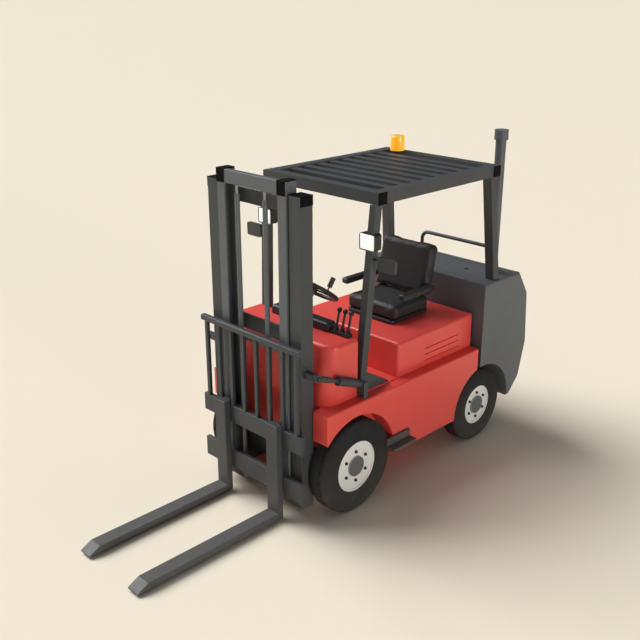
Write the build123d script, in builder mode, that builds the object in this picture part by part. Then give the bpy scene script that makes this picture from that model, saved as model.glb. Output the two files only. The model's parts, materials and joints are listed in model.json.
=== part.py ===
"""Counterbalance forklift truck, modelled as separate pieces in millimetres.

The truck faces -Y, +X is its left flank and +Z is up. The origin lies on the ground below the
middle of the whole length, from the fork tips to the tail of the counterweight.
"""
import os
from math import cos, radians, sin

from build123d import *

os.makedirs("parts", exist_ok=True)

# Overall layout
tip_reach = 1560.0
wheelbase = 1380.0
tail_overhang = 554.0
tail_reach = wheelbase + tail_overhang
front_axle_y = (tip_reach - tail_reach) / 2
rear_axle_y = front_axle_y + wheelbase
body_half = 556.0
cabin_inset = 81.0
cabin_half = body_half - cabin_inset
deck_z = 777.0
belly_z = 280.0
running_gap = 0.3
part_gap = 5.0
sides = ((1, "left"), (-1, "right"))

# Wheels and axles
front_tyre_r = 323.0
front_tyre_w = 125.0
front_rim_r = 177.0
front_wheel_x = body_half - front_tyre_w / 2
well_gap = 4.0
wheel_well_x = front_wheel_x - front_tyre_w / 2 - well_gap
rear_tyre_r = 283.0
rear_tyre_w = 130.0
rear_rim_r = 152.0
rear_tyre_inset = 35.0
rear_wheel_x = body_half - rear_tyre_inset - rear_tyre_w / 2
tyre_shoulder_r = 26.0
rim_recess = 14.0
rim_disc_t = 16.0
hub_reach = 0.35
hub_r = 70.0
hub_proud = 8.0
drive_tube_r = 55.0
drive_tube_room = 22.0
drive_tube_half = wheel_well_x - drive_tube_room
drive_stub_r = 34.0
drive_housing_r = 100.0
drive_housing_half = 90.0
steer_stub_r = 26.0
kingpin_offset = 111.0
kingpin_x = rear_wheel_x - kingpin_offset
kingpin_r = 16.0
beam_half_y = 34.0
beam_half_z = 38.0
beam_eye_r = 36.0
beam_middle_z = 58.0
beam_shoulder_x = 110.0
steer_pivot_r = 34.0
steer_pivot_half = 205.0
steer_hanger_half = 62.0
steer_hanger_t = 60.0
knuckle_lug_t = 18.0
knuckle_wall_t = 24.0
knuckle_gap = 1.0

# Chassis, cowl, hood and counterweight
chassis_front = -277.0
bay_front = -205.0
chassis_tail = 80.0
chassis_rear = wheelbase - chassis_tail
chassis_edge_r = 14.0
arm_slot_rear = 105.0
fender_z = 585.0
front_arch_r = 365.0
rear_arch_r = 335.0
arm_slot_gap = 12.0
arm_slot_top = 470.0
floor_t = 8.0
cowl_front = -210.0
cowl_rear = 80.0
cowl_top = 1180.0
cowl_corner_r = 100.0
cowl_wall = 40.0
cowl_edge_r = 28.0
cowl_rake = 45.0
dash_depth = 90.0
dash_h = 62.0
dash_end_room = 205.0
dash_half = cabin_half - dash_end_room
dash_front = 8.0
dash_edge_r = 20.0
hood_front = 479.0
hood_tail = 64.0
hood_rear = wheelbase - hood_tail
hood_top = 1028.0
hood_wall = 24.0
hood_edge_r = 18.0
hinge_r = 6.0
hinge_drop = 26.0
hinge_gap = 0.5
hinge_pin_r = 3.0
hinge_leaf_t = 8.0
hinge_len = 45.0
hinge_x = 300.0
louvre_z = 815.0
louvre_tail = 166.0
louvre_rear = hood_rear - louvre_tail
louvre_count = 3
louvre_pitch = 45.0
louvre_len = 380.0
louvre_h = 12.0
louvre_depth = 8.0
engine_half = 210.0
engine_tail = 276.0
engine_rear = hood_rear - engine_tail
engine_nose = 121.0
engine_front = hood_front + engine_nose
engine_bottom = 420.0
engine_top = 960.0
engine_room = 30.0
weight_gap = 18.0
weight_front = hood_rear + weight_gap
weight_top = 1257.0
brow_back = 157.0
weight_brow = tail_reach - brow_back
shoulder_back = 34.0
weight_shoulder = (tail_reach - shoulder_back, 1072.0)
weight_tail_z = 665.0
heel_back = 67.0
weight_heel = (tail_reach - heel_back, 383.0)
toe_back = 182.0
weight_toe = (tail_reach - toe_back, 262.0)
weight_edge_r = 14.0
lifting_hole_r = 20.0
lifting_hole_len = 90.0
lifting_hole_back = 190.0
lifting_hole_at = (215.0, wheelbase + lifting_hole_back)
grille_half = 260.0
grille_z = (745.0, 1000.0)
grille_depth = 84.0
grille_slats = 5
grille_slat_t = 14.0
grille_slat_depth = 48.0
tow_half = 55.0
tow_z = (455.0, 560.0)
tow_depth = 110.0
tow_pin_r = 14.0
tow_pin_back = 68.0

# Overhead guard and what stands on it
guard_inset = 30.0
guard_half = body_half - guard_inset
guard_front = 190.0
guard_overhang = 85.0
guard_rear = wheelbase + guard_overhang
guard_top = 2100.0
guard_tube = 76.0
guard_cap_t = 6.0
slat_count = 8
slat_w = 62.0
slat_h = 26.0
slat_drop = 4.0
front_pillar_w = 56.0
front_pillar_d = 58.0
front_pillar_foot = (cabin_half - front_pillar_w / 2 - 1.0, 127.0)
front_pillar_head_y = 198.0
front_plate_x = (cabin_half - front_pillar_w - 2.0, cabin_half)
gusset_top = (181.0, 913.0)
front_plate_y = (97.0, 388.0)
front_pillar_head_w = 50.0
rear_foot_inset = 58.0
rear_foot_back = 115.0
rear_head_inset = 83.0
rear_head_back = 32.0
rear_pillar_foot = (body_half - rear_foot_inset, wheelbase + rear_foot_back)
rear_pillar_head = (body_half - rear_head_inset, wheelbase + rear_head_back)
rear_pillar_d = 66.0
rear_pillar_w = 74.0
pillar_plate_t = 8.0
lamp_w = 125.0
lamp_h = 108.0
lamp_z = 1795.0
lamp_front_t = 8.0
lamp_depth = 66.0
lamp_inward = 14.0
lamp_edge_r = 16.0
mirror_w = 140.0
mirror_h = 92.0
mirror_t = 22.0
mirror_z = 1668.0
mirror_out = 157.0
mirror_reach = guard_half + mirror_out
mirror_stem_r = 7.0
beacon_r = 58.0
beacon_h = 116.0
beacon_edge_r = 14.0
beacon_inset = 176.0
beacon_x = beacon_inset - guard_half
beacon_ahead = 80.0
stack_r = 38.0
stack_inset = 168.0
stack_back = 270.0
stack_at = (body_half - stack_inset, wheelbase + stack_back)
stack_top = 2310.0
stack_cap_r = 50.0
stack_cap_h = 70.0
hoop_inset = 226.0
hoop_back = 325.0
hoop_half = body_half - hoop_inset
hoop_y = wheelbase + hoop_back
hoop_r = 14.0
hoop_rise = 165.0
hoop_bend_r = 60.0

# Operator's place
seat_half = 245.0
seat_tail = 196.0
seat_rear = hood_rear - seat_tail
seat_len = 415.0
seat_front = seat_rear - seat_len
seat_base_h = 28.0
seat_cushion_t = 100.0
seat_back_t = 95.0
seat_back_top = 1545.0
seat_back_lean = 12.0
seat_inset = 30.0
seat_edge_r = 42.0
armrest_len = 350.0
armrest_w = 52.0
armrest_h = 44.0
armrest_z = 1215.0
armrest_back = 30.0
armrest_front = seat_front + armrest_back
steering_axis_lean = 36.0
steering_wheel_r = 175.0
steering_rim_r = 13.0
steering_at = (142.0, 1386.0)
steering_hub_r = 36.0
steering_hub_h = 40.0
steering_spokes = 3
spoke_w = 26.0
spoke_t = 9.0
knob_angle = -14.0
steering_knob_h = 100.0
column_r = 26.0
lever_count = 3
lever_pitch = 52.0
lever_r = 8.0
knob_r = 17.0
lever_room = 28.0
lever_x = dash_half + lever_room
lever_foot_y = 58.0
lever_knob = (92.0, 1325.0)
lever_gate_h = 20.0
step_reach = 84.0
step_out = body_half + step_reach
step_front = 275.0
step_rear = 510.0
step_z = 372.0
step_t = 22.0
step_riser = 50.0

# Mast, carriage and forks
mast_well_gap = 7.0
mast_half = wheel_well_x - mast_well_gap
mast_front = -367.0
mast_depth = 100.0
inner_top = 2225.0
inner_rise = 75.0
mast_top = inner_top - inner_rise
mast_foot = 95.0
mast_foot_t = 28.0
mast_ties = ((300.0, 470.0), (1170.0, 1270.0), (mast_top - 140.0, mast_top - 50.0))
mast_cap_h = 62.0
arm_low = 200.0
arm_high = 450.0
mast_flange = 18.0
mast_channel_w = 96.0
mast_cap_t = 5.0
inner_side_gap = 13.0
inner_half = mast_half - mast_channel_w - inner_side_gap
inner_front = -380.0
inner_depth = 92.0
inner_w = 70.0
inner_foot = 131.0
inner_flange = 16.0
inner_ties = ((140.0, 178.0), (1090.0, 1150.0))
crown_h = 88.0
crown_t = 44.0
crown_low = inner_top - crown_h
lift_inset = 184.0
lift_x = inner_half - lift_inset
lift_y = -373.0
lift_barrel_r = 16.0
lift_rod_r = 10.0
lift_head_room = 52.0
lift_barrel_top = crown_low - lift_head_room
lift_rod_foot = 437.0
lift_rod_room = 15.0
trunnion_gap = 0.3
trunnion_wall = 28.0
arm_t = 72.0
arm_outer_x = mast_half - mast_flange
arm_inner_x = arm_outer_x - arm_t
arm_slot_x = arm_inner_x - arm_slot_gap
tilt_inset = 45.0
tilt_x = body_half - tilt_inset
tilt_eye_t = 34.0
tilt_eye = (-327.0, 1043.0)
tilt_pin = (92.0, 872.0)
tilt_barrel_r = 29.0
tilt_rod_r = 14.0
tilt_eye_r = 20.0
tilt_pin_r = 9.0
tilt_lug_t = 10.0
tilt_neck = 60.0
tilt_neck_r = 18.0
tilt_sleeve_r = 20.0
tilt_sleeve_sink = 3.0
tilt_sleeve_len = 115.0
tilt_barrel_end = 255.0
tilt_bore_start = 68.0
tilt_rod_start = 135.0
tilt_drift = 7.0
rod_eye_r = 25.0
carriage_overhang = 57.0
carriage_half = mast_half + carriage_overhang
carriage_front = -430.0
bar_t = 34.0
upper_bar = (533.0, 658.0)
lower_bar = (182.0, 324.0)
carriage_plate_inset = 133.0
carriage_plate_x = inner_half - carriage_plate_inset
carriage_plate_t = 26.0
carriage_plate_drop = 30.0
bar_edge_r = 6.0
backrest_inset = 9.0
backrest_half = carriage_half - backrest_inset
backrest_top = 1233.0
backrest_tube = 40.0
backrest_y = -417.0
backrest_bar_w = 24.0
backrest_bars = 8
fork_offset = 26.0
fork_inner_x = carriage_plate_x + fork_offset
fork_w = 102.0
fork_t = 48.0
fork_tip_t = 8.0
fork_bottom = 15.0
fork_heel_r = 14.0
fork_shank_top = 690.0
fork_nose_len = 78.0
fork_hook_x = 10.0
fork_hook_w = 66.0
fork_hook_depth = 22.0


def at_y(y):
    """Return a place along the truck from its distance behind the front axle."""
    return front_axle_y + y


def block(x, y, z, mode=Mode.ADD):
    """Add a box from its (low, high) pairs, with y counted from the front axle."""
    middle = ((x[0] + x[1]) / 2, at_y((y[0] + y[1]) / 2), (z[0] + z[1]) / 2)
    with Locations(middle):
        Box(abs(x[1] - x[0]), abs(y[1] - y[0]), abs(z[1] - z[0]), mode=mode)


def rod(start, end, radius, mode=Mode.ADD):
    """Add a round bar between two points, with y counted from the front axle."""
    a = Vector(start[0], at_y(start[1]), start[2])
    b = Vector(end[0], at_y(end[1]), end[2])
    with Locations(Plane(origin=(a + b) / 2, z_dir=b - a)):
        Cylinder(radius, (b - a).length, mode=mode)


def keep(builder, name):
    """Label a finished piece and write it to its own file."""
    builder.part.label = name
    export_step(builder.part, f"parts/{name}.step")


def side_plane(x):
    """Sketch plane across X whose first axis is +Y and whose second is +Z."""
    return Plane(origin=(x, 0, 0), x_dir=(0, 1, 0), z_dir=(1, 0, 0))


def wheel(name, radius, width, rim_r, stub_r, x, y, side):
    """Make one tyre and its rim, with the outer face towards the given side."""
    centre = (side * x, y, radius)
    profile_plane = Plane(origin=centre, x_dir=(side, 0, 0), z_dir=(0, -side, 0))
    spin_axis = Axis(centre, (1, 0, 0))
    with BuildPart() as tyre:
        with BuildSketch(profile_plane) as section:
            with Locations((0, (rim_r + radius) / 2)):
                Rectangle(width, radius - rim_r)
            fillet(section.vertices().group_by(Axis.Y)[-1], tyre_shoulder_r)
            fillet(section.vertices().group_by(Axis.Y)[0], tyre_shoulder_r / 3)
        revolve(axis=spin_axis)
    keep(tyre, f"tyre_{name}")

    face = width / 2 - rim_recess
    barrel_in = rim_r - rim_disc_t
    bore = stub_r + running_gap
    hub_in = -hub_reach * width
    with BuildPart() as rim:
        with BuildSketch(profile_plane):
            with Locations((0, (barrel_in + rim_r - running_gap) / 2)):
                Rectangle(width - rim_recess, rim_r - running_gap - barrel_in)
            with Locations((face - rim_disc_t / 2, (bore + barrel_in) / 2)):
                Rectangle(rim_disc_t, barrel_in - bore)
            with Locations(((face + hub_in) / 2, (bore + hub_r) / 2)):
                Rectangle(face - hub_in, hub_r - bore)
            with Locations((face + hub_proud / 2, hub_r / 2)):
                Rectangle(hub_proud, hub_r)
        revolve(axis=spin_axis)
    keep(rim, f"rim_{name}")


for side, flank in sides:
    wheel(f"front_{flank}", front_tyre_r, front_tyre_w, front_rim_r, drive_stub_r,
          front_wheel_x, front_axle_y, side)
    wheel(f"rear_{flank}", rear_tyre_r, rear_tyre_w, rear_rim_r, steer_stub_r,
          rear_wheel_x, rear_axle_y, side)

# Drive axle: a tube with a round housing in the middle and a stub for each front wheel
drive_stub_end = front_wheel_x + front_tyre_w / 2 - rim_recess - running_gap
drive_plane = Plane(origin=(0, front_axle_y, front_tyre_r), z_dir=(1, 0, 0))
with BuildPart() as drive_axle:
    with BuildSketch(drive_plane):
        Circle(drive_stub_r)
    extrude(amount=drive_stub_end, both=True)
    with BuildSketch(drive_plane):
        Circle(drive_tube_r)
    extrude(amount=drive_tube_half, both=True)
    with BuildSketch(drive_plane):
        Circle(drive_housing_r)
    extrude(amount=drive_housing_half, both=True)
keep(drive_axle, "drive_axle")

# Steer axle: a beam on a lengthwise pivot pin, with an upright eye at each end
steer_z = rear_tyre_r
beam_plane = Plane(origin=(0, rear_axle_y, steer_z), x_dir=(1, 0, 0), z_dir=(0, -1, 0))
with BuildPart() as steer_axle:
    with BuildSketch(beam_plane):
        with BuildLine():
            Polyline((beam_shoulder_x, beam_middle_z), (2 * beam_shoulder_x, beam_half_z),
                     (kingpin_x, beam_half_z), (kingpin_x, -beam_half_z),
                     (2 * beam_shoulder_x, -beam_half_z),
                     (beam_shoulder_x, -beam_middle_z), (0, -beam_middle_z), (0, beam_middle_z), close=True)
        make_face()
        mirror(about=Plane.YZ)
    extrude(amount=beam_half_y, both=True)
    with BuildSketch(beam_plane):
        Circle(steer_pivot_r)
    extrude(amount=steer_pivot_half, both=True)
    with Locations((kingpin_x, rear_axle_y, steer_z), (-kingpin_x, rear_axle_y, steer_z)):
        Cylinder(beam_eye_r, 2 * beam_half_z)
    with Locations((kingpin_x, rear_axle_y, steer_z), (-kingpin_x, rear_axle_y, steer_z)):
        Cylinder(kingpin_r + running_gap, 2 * beam_half_z, mode=Mode.SUBTRACT)
keep(steer_axle, "steer_axle")

# Knuckles: a fork round each beam eye, with its kingpin and the stub for a rear wheel
lug_low = beam_half_z + knuckle_gap
lug_high = lug_low + knuckle_lug_t
knuckle_wall_x = kingpin_x + beam_eye_r + knuckle_gap
steer_stub_end = rear_wheel_x + rear_tyre_w / 2 - rim_recess - running_gap
for side, flank in sides:
    with BuildPart() as knuckle:
        for low in (lug_low, -lug_high):
            with BuildSketch(Plane.XY.offset(steer_z + low)):
                with Locations((side * kingpin_x, rear_axle_y)):
                    Circle(beam_eye_r)
                with Locations((side * (kingpin_x + knuckle_wall_x) / 2, rear_axle_y)):
                    Rectangle(knuckle_wall_x - kingpin_x, 2 * beam_eye_r)
            extrude(amount=knuckle_lug_t)
        with Locations((side * (knuckle_wall_x + knuckle_wall_t / 2), rear_axle_y, steer_z)):
            Box(knuckle_wall_t, 2 * beam_eye_r, 2 * lug_high)
        with Locations((side * kingpin_x, rear_axle_y, steer_z)):
            Cylinder(kingpin_r, 2 * lug_high)
        with BuildSketch(Plane(origin=(side * knuckle_wall_x, rear_axle_y, steer_z), z_dir=(side, 0, 0))):
            Circle(steer_stub_r)
        extrude(amount=steer_stub_end - knuckle_wall_x)
    keep(knuckle, f"knuckle_{flank}")

# Chassis: the side profile across the whole width, opened for wheels, mast, axles and engine
with BuildPart() as chassis:
    with BuildSketch(side_plane(-body_half)):
        with BuildLine():
            Polyline((at_y(chassis_front), deck_z), (at_y(chassis_rear), deck_z),
                     (at_y(chassis_rear), belly_z), (at_y(-front_arch_r / 2), belly_z),
                     (at_y(chassis_front), fender_z), close=True)
        make_face()
    extrude(amount=2 * body_half)
    deck_edges = chassis.edges().filter_by(Axis.Y).group_by(Axis.Z)[-1]
    fillet(deck_edges, chassis_edge_r)
    bay_low = chassis_front - part_gap
    block((-wheel_well_x, wheel_well_x), (bay_low, bay_front), (0, deck_z + part_gap), Mode.SUBTRACT)
    for side, flank in sides:
        with BuildSketch(side_plane(side * wheel_well_x)):
            with Locations((front_axle_y, front_tyre_r)):
                Circle(front_arch_r)
        extrude(amount=side * body_half, mode=Mode.SUBTRACT)
        slot = tuple(sorted((side * arm_slot_x, side * (wheel_well_x + part_gap))))
        block(slot, (bay_low, arm_slot_rear), (0, arm_slot_top), Mode.SUBTRACT)
    with BuildSketch(side_plane(-body_half)):
        with Locations((rear_axle_y, steer_z)):
            Circle(rear_arch_r)
    extrude(amount=2 * body_half, mode=Mode.SUBTRACT)
    with BuildSketch(drive_plane):
        Circle(drive_tube_r + running_gap)
    extrude(amount=body_half, both=True, mode=Mode.SUBTRACT)
    with BuildSketch(drive_plane):
        Circle(drive_housing_r + running_gap)
    extrude(amount=drive_housing_half + running_gap, both=True, mode=Mode.SUBTRACT)
    bay_half = engine_half + engine_room
    block((-bay_half, bay_half), (engine_front - engine_room, engine_rear + engine_room),
          (engine_bottom, deck_z + part_gap), Mode.SUBTRACT)
    hanger_rear = wheelbase - steer_pivot_half + steer_hanger_t
    block((-steer_hanger_half, steer_hanger_half), (wheelbase - steer_pivot_half, hanger_rear),
          (steer_z - steer_hanger_half, steer_z + rear_arch_r))
    with BuildSketch(beam_plane):
        Circle(steer_pivot_r + running_gap)
    extrude(amount=steer_pivot_half + running_gap, both=True, mode=Mode.SUBTRACT)
keep(chassis, "chassis")

with BuildPart() as floor_plate:
    block((-cabin_half, cabin_half), (cowl_rear, hood_front - part_gap), (deck_z, deck_z + floor_t))
    block((-cabin_half + cowl_wall, cabin_half - cowl_wall), (cowl_rear - cowl_wall, cowl_rear + part_gap),
          (deck_z, deck_z + floor_t))
keep(floor_plate, "floor_plate")

# Cowl: a shell open to the rear for the feet, with round corners and a front that leans back
with BuildPart() as cowl:
    with BuildSketch(side_plane(-cabin_half)):
        with BuildLine():
            Polyline((at_y(cowl_front), deck_z), (at_y(cowl_rear), deck_z), (at_y(cowl_rear), cowl_top),
                     (at_y(cowl_front + cowl_rake), cowl_top), close=True)
        make_face()
    extrude(amount=2 * cabin_half)
    front_face = cowl.faces().sort_by(Axis.Y)[0]
    fillet(front_face.edges().filter_by(Axis.X, reverse=True), cowl_corner_r)
    fillet(cowl.faces().sort_by(Axis.Z)[-1].edges().sort_by(Axis.Y)[:-1], cowl_edge_r)
    inside = cabin_half - cowl_wall
    block((-inside, inside), (cowl_front + cowl_rake + cowl_wall, cowl_rear + part_gap),
          (deck_z - part_gap, cowl_top - cowl_wall), Mode.SUBTRACT)
keep(cowl, "cowl")

dash_rear = dash_front + dash_depth
with BuildPart() as dash_pad:
    with BuildSketch(side_plane(-dash_half)) as section:
        with Locations((at_y((dash_front + dash_rear) / 2), cowl_top + dash_h / 2)):
            Rectangle(dash_depth, dash_h)
        fillet(section.vertices().group_by(Axis.Y)[-1], dash_edge_r)
    extrude(amount=2 * dash_half)
    ends = dash_pad.faces().filter_by(Axis.X).edges().filter_by(Axis.Z)
    fillet(ends, dash_edge_r)
keep(dash_pad, "dash_pad")

# Engine hood: a shell open below, with louvre slots in both sides
hood_base = deck_z + running_gap
hinge_y = hood_rear + hinge_r + hinge_gap
hinge_z = hood_top - hinge_drop
with BuildPart() as hood:
    block((-cabin_half, cabin_half), (hood_front, hood_rear), (hood_base, hood_top))
    fillet(hood.edges().filter_by(Axis.Z), hood_edge_r)
    fillet(hood.faces().sort_by(Axis.Z)[-1].edges(), hood_edge_r)
    block((hood_wall - cabin_half, cabin_half - hood_wall), (hood_front + hood_wall, hood_rear - hood_wall),
          (hood_base - part_gap, hood_top - hood_wall), Mode.SUBTRACT)
    for side, flank in sides:
        for row in range(louvre_count):
            z = louvre_z + row * louvre_pitch
            depth = tuple(sorted((side * (cabin_half - louvre_depth), side * (cabin_half + part_gap))))
            block(depth, (louvre_rear - louvre_len, louvre_rear), (z, z + louvre_h), Mode.SUBTRACT)
    for side, flank in sides:
        knuckle_x = (side * hinge_x, side * (hinge_x + hinge_len))
        rod((knuckle_x[0], hinge_y, hinge_z), (knuckle_x[1], hinge_y, hinge_z), hinge_r)
        leaf_x = tuple(sorted(knuckle_x))
        block(leaf_x, (hood_rear - hood_wall / 2, hinge_y),
              (hinge_z - hinge_leaf_t / 2, hinge_z + hinge_leaf_t / 2))
        rod((knuckle_x[0], hinge_y, hinge_z), (knuckle_x[1], hinge_y, hinge_z), hinge_pin_r + running_gap,
            Mode.SUBTRACT)
keep(hood, "engine_hood")

with BuildPart() as engine:
    block((-engine_half, engine_half), (engine_front, engine_rear), (engine_bottom, engine_top))
keep(engine, "engine_block")

# Counterweight: one casting with a sloping tail, arched over the steer axle
with BuildPart() as weight:
    with BuildSketch(side_plane(-body_half)) as profile:
        with BuildLine():
            Polyline((at_y(weight_front), weight_top), (at_y(weight_brow), weight_top),
                     (at_y(weight_shoulder[0]), weight_shoulder[1]), (at_y(tail_reach), weight_tail_z),
                     (at_y(weight_heel[0]), weight_heel[1]), (at_y(weight_toe[0]), weight_toe[1]),
                     (at_y(weight_front), weight_toe[1]), close=True)
        make_face()
    extrude(amount=2 * body_half)
    side_edges = weight.faces().filter_by(Axis.X).edges()
    fillet(side_edges.filter_by(lambda e: e.center().Y > at_y(weight_front + part_gap)), weight_edge_r)
    with BuildSketch(side_plane(-body_half)):
        with Locations((rear_axle_y, steer_z)):
            Circle(rear_arch_r)
    extrude(amount=2 * body_half, mode=Mode.SUBTRACT)
    hanger_front = wheelbase + steer_pivot_half - steer_hanger_t
    block((-steer_hanger_half, steer_hanger_half), (hanger_front, wheelbase + steer_pivot_half),
          (steer_z - steer_hanger_half, steer_z + rear_arch_r))
    with BuildSketch(beam_plane):
        Circle(steer_pivot_r + running_gap)
    extrude(amount=steer_pivot_half + running_gap, both=True, mode=Mode.SUBTRACT)
    with Locations((lifting_hole_at[0], at_y(lifting_hole_at[1]), weight_top),
                   (-lifting_hole_at[0], at_y(lifting_hole_at[1]), weight_top)):
        Hole(lifting_hole_r, lifting_hole_len)
    grille_back = tail_reach - grille_depth
    block((-grille_half, grille_half), (grille_back, tail_reach + part_gap), grille_z, Mode.SUBTRACT)
    grille_pitch = (grille_z[1] - grille_z[0]) / (grille_slats + 1)
    for row in range(grille_slats):
        z = grille_z[0] + (row + 1) * grille_pitch
        block((-grille_half - part_gap, grille_half + part_gap),
              (grille_back - part_gap, grille_back + grille_slat_depth),
              (z - grille_slat_t / 2, z + grille_slat_t / 2))
    block((-tow_half, tow_half), (tail_reach - tow_depth, tail_reach + part_gap), tow_z, Mode.SUBTRACT)
    tow_y = tail_reach - tow_pin_back
    rod((0, tow_y, tow_z[0] - part_gap), (0, tow_y, tow_z[1] + part_gap), tow_pin_r)
    for side, flank in sides:
        first = side * (hinge_x + hinge_len + knuckle_gap)
        second = first + side * hinge_len
        rod((first, hinge_y, hinge_z), (second, hinge_y, hinge_z), hinge_r)
        block(tuple(sorted((first, second))), (hinge_y, weight_front + part_gap),
              (hinge_z - hinge_leaf_t / 2, hinge_z + hinge_leaf_t / 2))
        rod((side * hinge_x, hinge_y, hinge_z), (second, hinge_y, hinge_z), hinge_pin_r)
keep(weight, "counterweight")

with BuildPart() as steps:
    for side, flank in sides:
        reach = tuple(sorted((side * body_half, side * step_out)))
        block(reach, (step_front, step_rear), (step_z - step_t, step_z))
        riser = tuple(sorted((side * body_half, side * (body_half + step_t))))
        block(riser, (step_front, step_rear), (step_z, step_z + step_riser))
keep(steps, "side_steps")

# Overhead guard: two cross tubes and two rails, with slats across the opening
guard_low = guard_top - guard_tube
frame_half = guard_half - guard_cap_t
with BuildPart() as guard:
    block((-frame_half, frame_half), (guard_front, guard_front + guard_tube), (guard_low, guard_top))
    block((-frame_half, frame_half), (guard_rear - guard_tube, guard_rear), (guard_low, guard_top))
    for side, flank in sides:
        rail = tuple(sorted((side * (frame_half - guard_tube), side * frame_half)))
        block(rail, (guard_front, guard_rear), (guard_low, guard_top))
    opening = guard_rear - guard_front - 2 * guard_tube
    slat_pitch = opening / (slat_count + 1)
    for row in range(slat_count):
        y = guard_front + guard_tube + (row + 1) * slat_pitch
        block((-frame_half + slat_h, frame_half - slat_h), (y - slat_w / 2, y + slat_w / 2),
              (guard_top - slat_drop - slat_h, guard_top - slat_drop))
keep(guard, "guard_frame")

with BuildPart() as guard_caps:
    for side, flank in sides:
        cap = tuple(sorted((side * frame_half, side * guard_half)))
        for y in (guard_front, guard_rear - guard_tube):
            block(cap, (y, y + guard_tube), (guard_low, guard_top))
keep(guard_caps, "guard_caps")

# Front pillars: posts on foot plates with gussets, splayed out to the guard's front corners
plate_top = deck_z + floor_t + pillar_plate_t
pillar_head = (frame_half - front_pillar_head_w / 2, front_pillar_head_y)
with BuildPart() as front_pillars:
    for side, flank in sides:
        plate_x = tuple(sorted((side * front_plate_x[0], side * front_plate_x[1])))
        block(plate_x, front_plate_y, (plate_top - pillar_plate_t, plate_top))
        with BuildSketch(Plane.XY.offset(plate_top)):
            with Locations((side * front_pillar_foot[0], at_y(front_pillar_foot[1]))):
                Rectangle(front_pillar_w, front_pillar_d)
        with BuildSketch(Plane.XY.offset(guard_low)):
            with Locations((side * pillar_head[0], at_y(pillar_head[1]))):
                Rectangle(front_pillar_head_w, front_pillar_d)
        loft()
        with BuildSketch(side_plane(side * front_plate_x[0])):
            with BuildLine():
                Polyline((at_y(front_plate_y[0]), plate_top), (at_y(front_plate_y[1]), plate_top),
                         (at_y(gusset_top[0]), gusset_top[1]), (at_y(front_pillar_foot[1]), gusset_top[1]),
                         close=True)
            make_face()
        extrude(amount=side * (front_plate_x[1] - front_plate_x[0]))
keep(front_pillars, "front_pillars")

with BuildPart() as rear_pillars:
    for side, flank in sides:
        with BuildSketch(Plane.XY.offset(weight_top)):
            with Locations((side * rear_pillar_foot[0], at_y(rear_pillar_foot[1]))):
                Rectangle(rear_pillar_w, rear_pillar_d)
        with BuildSketch(Plane.XY.offset(guard_low)):
            with Locations((side * rear_pillar_head[0], at_y(rear_pillar_head[1]))):
                Rectangle(rear_pillar_w, rear_pillar_d)
        loft()
keep(rear_pillars, "rear_pillars")


def pillar_at(z):
    """Return the front pillar's middle (x, y) and its width at a height."""
    share = (z - plate_top) / (guard_low - plate_top)
    x = front_pillar_foot[0] + share * (pillar_head[0] - front_pillar_foot[0])
    y = front_pillar_foot[1] + share * (pillar_head[1] - front_pillar_foot[1])
    return x, y, front_pillar_w + share * (front_pillar_head_w - front_pillar_w)


lamp_x = pillar_at(lamp_z)[0] - lamp_inward
lamp_lens = pillar_at(lamp_z - lamp_h / 2)[1] - front_pillar_d / 2 - lamp_front_t
with BuildPart() as head_lamps:
    for side, flank in sides:
        lamp_at = (side * lamp_x, at_y(lamp_lens), lamp_z)
        with BuildSketch(Plane(origin=lamp_at, x_dir=(-1, 0, 0), z_dir=(0, 1, 0))):
            RectangleRounded(lamp_w, lamp_h, lamp_edge_r)
        extrude(amount=lamp_depth)
        with BuildSketch(Plane.XY.offset(plate_top)):
            with Locations((side * front_pillar_foot[0], at_y(front_pillar_foot[1]))):
                Rectangle(front_pillar_w + 2 * running_gap, front_pillar_d + 2 * running_gap)
        with BuildSketch(Plane.XY.offset(guard_low)):
            with Locations((side * pillar_head[0], at_y(pillar_head[1]))):
                Rectangle(front_pillar_head_w + 2 * running_gap, front_pillar_d + 2 * running_gap)
        loft(mode=Mode.SUBTRACT)
keep(head_lamps, "head_lamps")

mirror_stem_z = mirror_z + mirror_h / 5
stem_x, stem_y, stem_w = pillar_at(mirror_stem_z + mirror_stem_r)
with BuildPart() as mirrors:
    for side, flank in sides:
        rod((side * (stem_x + stem_w / 2 + running_gap), stem_y, mirror_stem_z),
            (side * (mirror_reach - mirror_w / 3), stem_y, mirror_stem_z), mirror_stem_r)
        face_at = (side * (mirror_reach - mirror_w / 2), at_y(stem_y - mirror_t / 2), mirror_z)
        with BuildSketch(Plane(origin=face_at, x_dir=(-1, 0, 0), z_dir=(0, 1, 0))):
            RectangleRounded(mirror_w, mirror_h, lamp_edge_r)
        extrude(amount=mirror_t)
keep(mirrors, "mirrors")

with BuildPart() as beacon:
    with Locations((beacon_x, at_y(guard_rear - beacon_ahead), guard_top + beacon_h / 2)):
        Cylinder(beacon_r, beacon_h)
    fillet(beacon.edges().sort_by(Axis.Z)[-1], beacon_edge_r)
keep(beacon, "beacon")

with BuildPart() as stack:
    rod((*stack_at, weight_top), (*stack_at, stack_top - stack_cap_h / 2), stack_r)
    rod((*stack_at, stack_top - stack_cap_h), (*stack_at, stack_top), stack_cap_r)
keep(stack, "exhaust_stack")

hoop_plane = Plane(origin=(0, at_y(hoop_y), weight_top), x_dir=(1, 0, 0), z_dir=(0, -1, 0))
with BuildPart() as hoop:
    with BuildLine(hoop_plane) as hoop_path:
        FilletPolyline((-hoop_half, 0), (-hoop_half, hoop_rise), (hoop_half, hoop_rise),
                       (hoop_half, 0), radius=hoop_bend_r)
    with BuildSketch(Plane(origin=(-hoop_half, at_y(hoop_y), weight_top))):
        Circle(hoop_r)
    sweep(path=hoop_path.line)
keep(hoop, "rear_hoop")

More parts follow.
